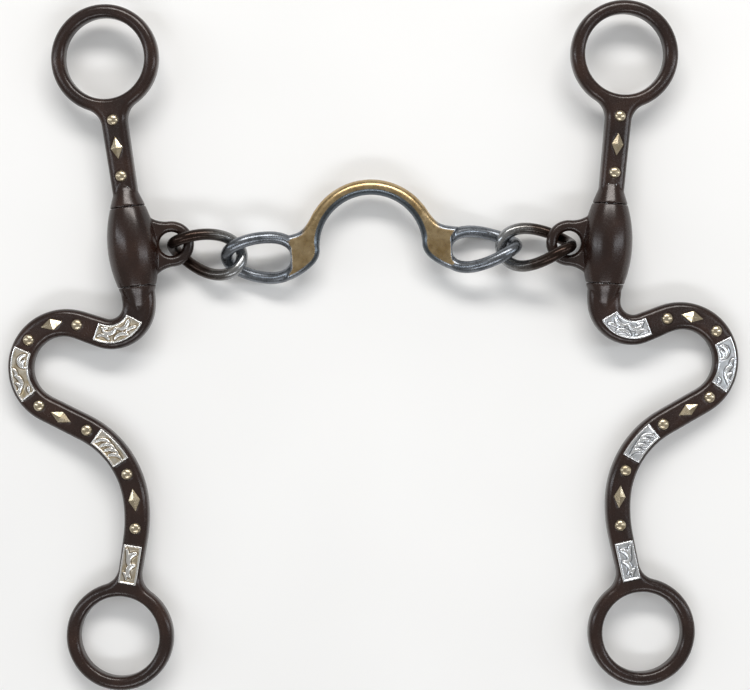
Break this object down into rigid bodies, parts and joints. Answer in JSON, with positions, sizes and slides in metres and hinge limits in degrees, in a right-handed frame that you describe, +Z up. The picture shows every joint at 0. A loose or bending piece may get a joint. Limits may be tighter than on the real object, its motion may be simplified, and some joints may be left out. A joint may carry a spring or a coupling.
{
  "type": "curb bit",
  "caption": "Western curb bit with swivelling S-shaped silver-mounted shanks and a chain mouthpiece with a half-round port.",
  "frame": {"origin": "centre of the bounding box on the surface the bit lies on", "axes": "+X along the mouthpiece to the right, +Y towards the headstall rings, +Z up out of the decorated faces"},
  "size_m": [0.2154, 0.2028, 0.0153],
  "materials": {
    "browned_steel": "dark brown oxide over steel, oiled, glossy satin",
    "engraved_silver": "engraved nickel silver, satin ground, bright borders",
    "polished_silver": "polished nickel silver",
    "port_iron": "worn bright sweet iron with a warm tone",
    "chain_iron": "gunmetal iron wire, browned towards the barrels",
    "pin_steel": "plain turned steel"
  },
  "bodies": {
    "port": {"port": "port_iron"},
    "left_link": {"left_link": "chain_iron"},
    "left_barrel": {"left_barrel": "browned_steel"},
    "left_cheek": {"left_plate_lower": "engraved_silver", "left_plate_middle": "engraved_silver", "left_plate_outer_bend": "engraved_silver", "left_plate_upper_bend": "engraved_silver", "left_purchase": "browned_steel", "left_purchase_diamond": "polished_silver", "left_purchase_dots": "polished_silver", "left_shank": "browned_steel", "left_shank_diamonds": "polished_silver", "left_shank_dots": "polished_silver", "left_swivel_pin": "pin_steel"},
    "right_link": {"right_link": "chain_iron"},
    "right_barrel": {"right_barrel": "browned_steel"},
    "right_cheek": {"right_plate_lower": "engraved_silver", "right_plate_middle": "engraved_silver", "right_plate_outer_bend": "engraved_silver", "right_plate_upper_bend": "engraved_silver", "right_purchase": "browned_steel", "right_purchase_diamond": "polished_silver", "right_purchase_dots": "polished_silver", "right_shank": "browned_steel", "right_shank_diamonds": "polished_silver", "right_shank_dots": "polished_silver", "right_swivel_pin": "pin_steel"}
  },
  "joints": [
    {"name": "left_port_eye_hinge", "type": "hinge", "parent": "port", "child": "left_link", "pos_m": [-0.04308, 0.02613, 0.00626], "axis": [-0.002, 0.5739, 0.8189], "range_deg": [-22, 24]},
    {"name": "left_barrel_eye_hinge", "type": "hinge", "parent": "left_link", "child": "left_barrel", "pos_m": [-0.05426, 0.02989, 0.00617], "axis": [0.01, 0.9999, 0.001], "range_deg": [-22, 24]},
    {"name": "left_cheek_swivel", "type": "hinge", "parent": "left_barrel", "child": "left_cheek", "pos_m": [-0.0707, 0.02906, 0.00731], "axis": [-0.1201, 0.9927, 0.0096], "continuous": true},
    {"name": "right_port_eye_hinge", "type": "hinge", "parent": "port", "child": "right_link", "pos_m": [0.04199, 0.02955, 0.00675], "axis": [0.013, 0.3129, -0.9497], "range_deg": [-22, 25]},
    {"name": "right_barrel_eye_hinge", "type": "hinge", "parent": "right_link", "child": "right_barrel", "pos_m": [0.05229, 0.03025, 0.00856], "axis": [0.012, 0.9998, 0.014], "range_deg": [-25, 22]},
    {"name": "right_cheek_swivel", "type": "hinge", "parent": "right_barrel", "child": "right_cheek", "pos_m": [0.06875, 0.02996, 0.00731], "axis": [0.0645, 0.9979, 0.0096], "continuous": true}
  ]
}
